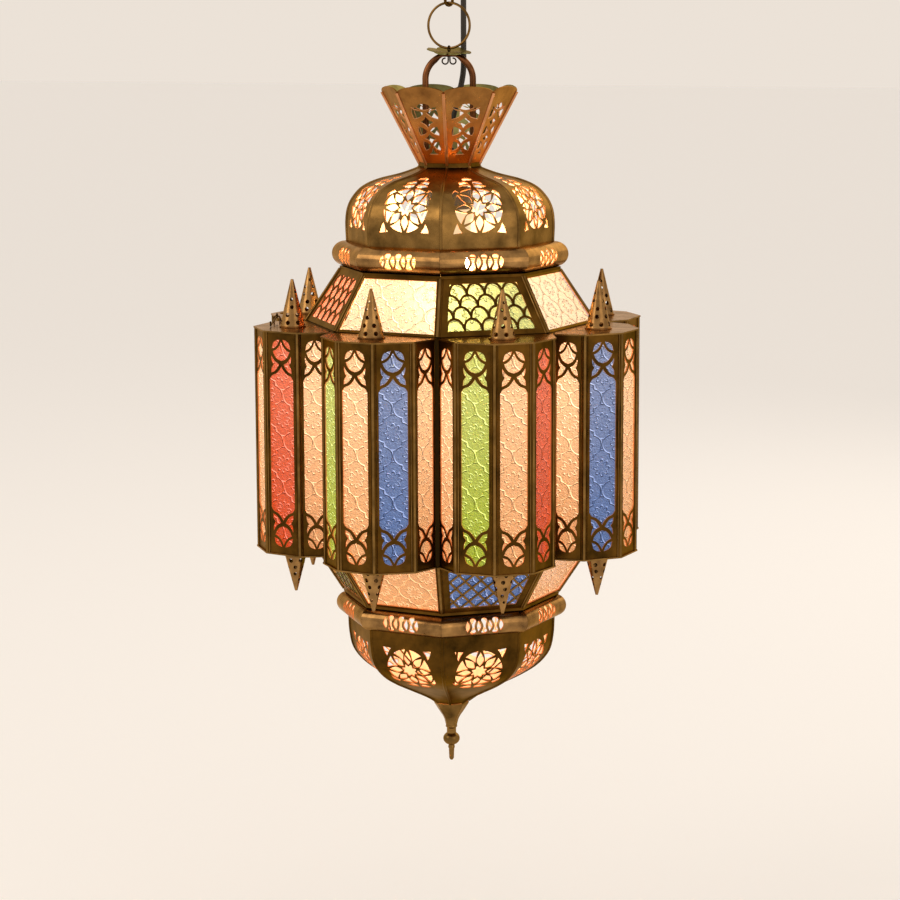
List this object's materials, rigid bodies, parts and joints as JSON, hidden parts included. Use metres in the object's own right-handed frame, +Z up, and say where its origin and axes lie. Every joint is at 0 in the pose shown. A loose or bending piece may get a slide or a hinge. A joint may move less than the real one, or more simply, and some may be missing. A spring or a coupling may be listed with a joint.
{
  "type": "hanging lantern",
  "caption": "Octagonal hanging lantern of pierced brass with coloured pressed-glass bays, a domed top under a flared crown, a bowl with a finial, and a ring on a chain.",
  "frame": {"origin": "centre of the ceiling plate's upper face, on the lantern's axis", "axes": "+Z up out of the ceiling face, -X towards the door bay, +X and +-Y through the middles of other bays"},
  "size_m": [0.3228, 0.3228, 0.7116],
  "materials": {
    "aged_brass": "aged, satin",
    "dark_brass": "darkened, satin",
    "warm_brass": "aged, with a copper tone",
    "clear_glass": "pressed, warm white",
    "red_glass": "pressed, red",
    "green_glass": "pressed, yellow-green",
    "blue_glass": "pressed, blue",
    "bulb_glass": "frosted",
    "black_plastic": "moulded, satin",
    "cable_sheath": "smooth, dark"
  },
  "bodies": {
    "ceiling": {"ceiling_plate": "dark_brass", "ceiling_rose": "aged_brass", "ceiling_hook": "aged_brass"},
    "chain": {"chain_link_1": "aged_brass", "chain_link_2": "aged_brass", "hanging_ring": "dark_brass", "cable_upper": "cable_sheath"},
    "swivel": {"swivel_cotter": "dark_brass", "cable_lower": "cable_sheath"},
    "door": {"door_frame": "aged_brass", "door_glass": "clear_glass"},
    "latch": {"door_hook": "dark_brass"},
    "lantern": {"flower_washer": "dark_brass", "hanger_arch": "warm_brass", "cord_grip": "black_plastic", "crown": "warm_brass", "neck_plate": "dark_brass", "nipple": "aged_brass", "lampholder_cap": "black_plastic", "lampholder_shell": "black_plastic", "bulb": "bulb_glass", "dome": "aged_brass", "upper_ring": "aged_brass", "upper_skirt": "aged_brass", "drum_frame": "dark_brass", "lower_skirt": "aged_brass", "lower_ring": "aged_brass", "bowl": "aged_brass", "finial": "aged_brass", "hinge_pin": "dark_brass", "bay_1_frame": "aged_brass", "bay_1_glass": "clear_glass", "bay_2_frame": "aged_brass", "bay_2_glass": "clear_glass", "bay_3_frame": "aged_brass", "bay_3_glass": "clear_glass", "bay_4_frame": "aged_brass", "bay_4_glass": "clear_glass", "bay_5_frame": "aged_brass", "bay_5_glass": "clear_glass", "bay_6_frame": "aged_brass", "bay_6_glass": "clear_glass", "bay_7_frame": "aged_brass", "bay_7_glass": "clear_glass", "upper_pane_1": "clear_glass", "lower_pane_1": "clear_glass", "upper_pane_2": "red_glass", "lower_pane_2": "green_glass", "upper_pane_3": "clear_glass", "lower_pane_3": "clear_glass", "upper_pane_4": "green_glass", "lower_pane_4": "blue_glass", "upper_pane_5": "clear_glass", "lower_pane_5": "clear_glass", "upper_pane_6": "blue_glass", "lower_pane_6": "red_glass", "upper_pane_7": "clear_glass", "lower_pane_7": "clear_glass", "upper_pane_8": "green_glass", "lower_pane_8": "blue_glass"}
  },
  "joints": [
    {"name": "chain_swing", "type": "hinge", "parent": "ceiling", "child": "chain", "pos_m": [0, 0, -0.0513], "axis": [0.5693, 0.8221, 0], "range_deg": [-12, 12], "deforming": ["cable_upper"]},
    {"name": "lantern_tilt", "type": "hinge", "parent": "chain", "child": "swivel", "pos_m": [0, 0, -0.1186], "axis": [0.9966, 0.0819, 0], "range_deg": [-10, 10], "deforming": ["cable_lower"]},
    {"name": "lantern_turn", "type": "hinge", "parent": "swivel", "child": "lantern", "pos_m": [0, 0, -0.1213], "axis": [0, 0, 1], "range_deg": [-30, 30]},
    {"name": "door_swing", "type": "hinge", "parent": "lantern", "child": "door", "pos_m": [-0.11798, 0.04887, -0.4297], "axis": [0, 0, -1], "range_deg": [0, 75]},
    {"name": "door_hook_lift", "type": "hinge", "parent": "lantern", "child": "latch", "pos_m": [-0.12304, -0.07, -0.3341], "axis": [-0.9239, -0.3827, 0], "range_deg": [0, 186]}
  ]
}
